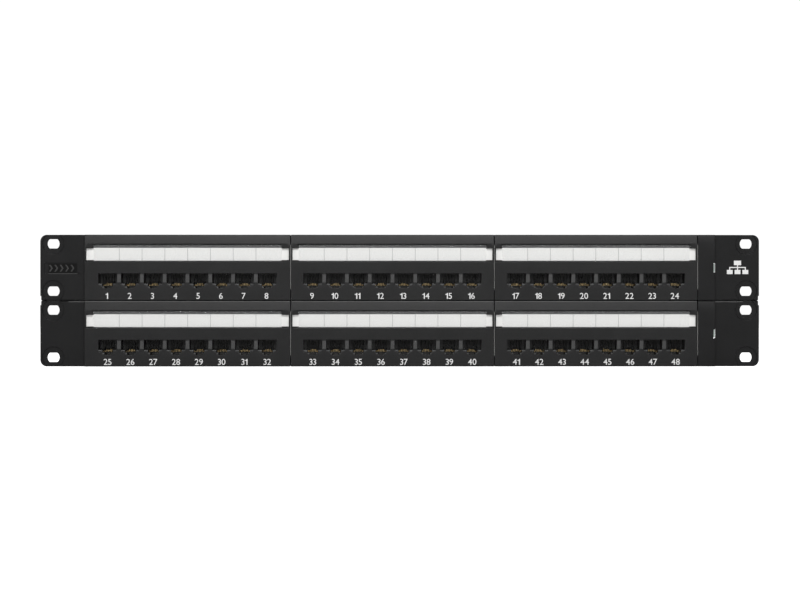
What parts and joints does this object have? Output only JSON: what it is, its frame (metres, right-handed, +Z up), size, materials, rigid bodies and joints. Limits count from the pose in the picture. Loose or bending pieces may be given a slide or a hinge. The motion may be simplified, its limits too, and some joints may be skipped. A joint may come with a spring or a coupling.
{
  "type": "network patch panel",
  "caption": "Black two-row rack patch panel with square network sockets, label strips under hinged clear covers, and punch-down blocks on circuit boards behind a steel frame.",
  "frame": {"origin": "centre of the rack slots, on the rear face of the steel frame, the face that lies on the rack rails", "axes": "+X to the right as seen from the front, +Y to the back of the rack, +Z up"},
  "size_m": [0.4826, 0.0336, 0.0882],
  "materials": {
    "frame_paint": "fine-textured black powder coat",
    "ear_plastic": "fine spark-eroded black plastic",
    "bezel_plastic": "fine spark-eroded black plastic",
    "label_card": "uncoated white card",
    "clear_plastic": "clear polished polycarbonate",
    "jack_plastic": "smooth black plastic",
    "contact_gold": "gold-plated spring wire",
    "board_green": "green solder resist over glass fibre",
    "block_plastic": "smooth black plastic",
    "contact_tin": "tin-plated bronze",
    "screw_zinc": "zinc-plated steel"
  },
  "bodies": {
    "panel": {"steel_frame": "frame_paint", "stiffener_upper": "frame_paint", "stiffener_lower": "frame_paint", "ear_cover_upper_left": "ear_plastic", "ear_cover_upper_right": "ear_plastic", "ear_cover_lower_left": "ear_plastic", "ear_cover_lower_right": "ear_plastic", "end_filler_upper": "bezel_plastic", "end_filler_lower": "bezel_plastic", "bezel_screws": "screw_zinc", "board_screws": "screw_zinc", "ear_cover_screws": "screw_zinc", "bezel_upper_left": "bezel_plastic", "bezel_upper_middle": "bezel_plastic", "bezel_upper_right": "bezel_plastic", "bezel_lower_left": "bezel_plastic", "bezel_lower_middle": "bezel_plastic", "bezel_lower_right": "bezel_plastic", "label_strip_upper_left": "label_card", "label_strip_upper_middle": "label_card", "label_strip_upper_right": "label_card", "label_strip_lower_left": "label_card", "label_strip_lower_middle": "label_card", "label_strip_lower_right": "label_card", "jack_housings_upper_left": "jack_plastic", "jack_housings_upper_middle": "jack_plastic", "jack_housings_upper_right": "jack_plastic", "jack_housings_lower_left": "jack_plastic", "jack_housings_lower_middle": "jack_plastic", "jack_housings_lower_right": "jack_plastic", "jack_contacts_upper_left": "contact_gold", "jack_contacts_upper_middle": "contact_gold", "jack_contacts_upper_right": "contact_gold", "jack_contacts_lower_left": "contact_gold", "jack_contacts_lower_middle": "contact_gold", "jack_contacts_lower_right": "contact_gold", "circuit_board_upper_left": "board_green", "circuit_board_upper_middle": "board_green", "circuit_board_upper_right": "board_green", "circuit_board_lower_left": "board_green", "circuit_board_lower_middle": "board_green", "circuit_board_lower_right": "board_green", "punch_down_blocks_upper_left": "block_plastic", "punch_down_blocks_upper_middle": "block_plastic", "punch_down_blocks_upper_right": "block_plastic", "punch_down_blocks_lower_left": "block_plastic", "punch_down_blocks_lower_middle": "block_plastic", "punch_down_blocks_lower_right": "block_plastic", "wire_contacts_upper_left": "contact_tin", "wire_contacts_upper_middle": "contact_tin", "wire_contacts_upper_right": "contact_tin", "wire_contacts_lower_left": "contact_tin", "wire_contacts_lower_middle": "contact_tin", "wire_contacts_lower_right": "contact_tin"},
    "cover_upper_left": {"label_cover_upper_left": "clear_plastic"},
    "cover_upper_middle": {"label_cover_upper_middle": "clear_plastic"},
    "cover_upper_right": {"label_cover_upper_right": "clear_plastic"},
    "cover_lower_left": {"label_cover_lower_left": "clear_plastic"},
    "cover_lower_middle": {"label_cover_lower_middle": "clear_plastic"},
    "cover_lower_right": {"label_cover_lower_right": "clear_plastic"}
  },
  "joints": [
    {"name": "cover_hinge_upper_left", "type": "hinge", "parent": "panel", "child": "cover_upper_left", "pos_m": [-0.14235, -0.0079, 0.0364], "axis": [-1, 0, 0], "range_deg": [0, 100]},
    {"name": "cover_hinge_upper_middle", "type": "hinge", "parent": "panel", "child": "cover_upper_middle", "pos_m": [-0.0052, -0.0079, 0.0364], "axis": [-1, 0, 0], "range_deg": [0, 100]},
    {"name": "cover_hinge_upper_right", "type": "hinge", "parent": "panel", "child": "cover_upper_right", "pos_m": [0.1312, -0.0079, 0.0364], "axis": [-1, 0, 0], "range_deg": [0, 100]},
    {"name": "cover_hinge_lower_left", "type": "hinge", "parent": "panel", "child": "cover_lower_left", "pos_m": [-0.14235, -0.0079, -0.00805], "axis": [-1, 0, 0], "range_deg": [0, 100]},
    {"name": "cover_hinge_lower_middle", "type": "hinge", "parent": "panel", "child": "cover_lower_middle", "pos_m": [-0.0052, -0.0079, -0.00805], "axis": [-1, 0, 0], "range_deg": [0, 100]},
    {"name": "cover_hinge_lower_right", "type": "hinge", "parent": "panel", "child": "cover_lower_right", "pos_m": [0.1312, -0.0079, -0.00805], "axis": [-1, 0, 0], "range_deg": [0, 100]}
  ]
}
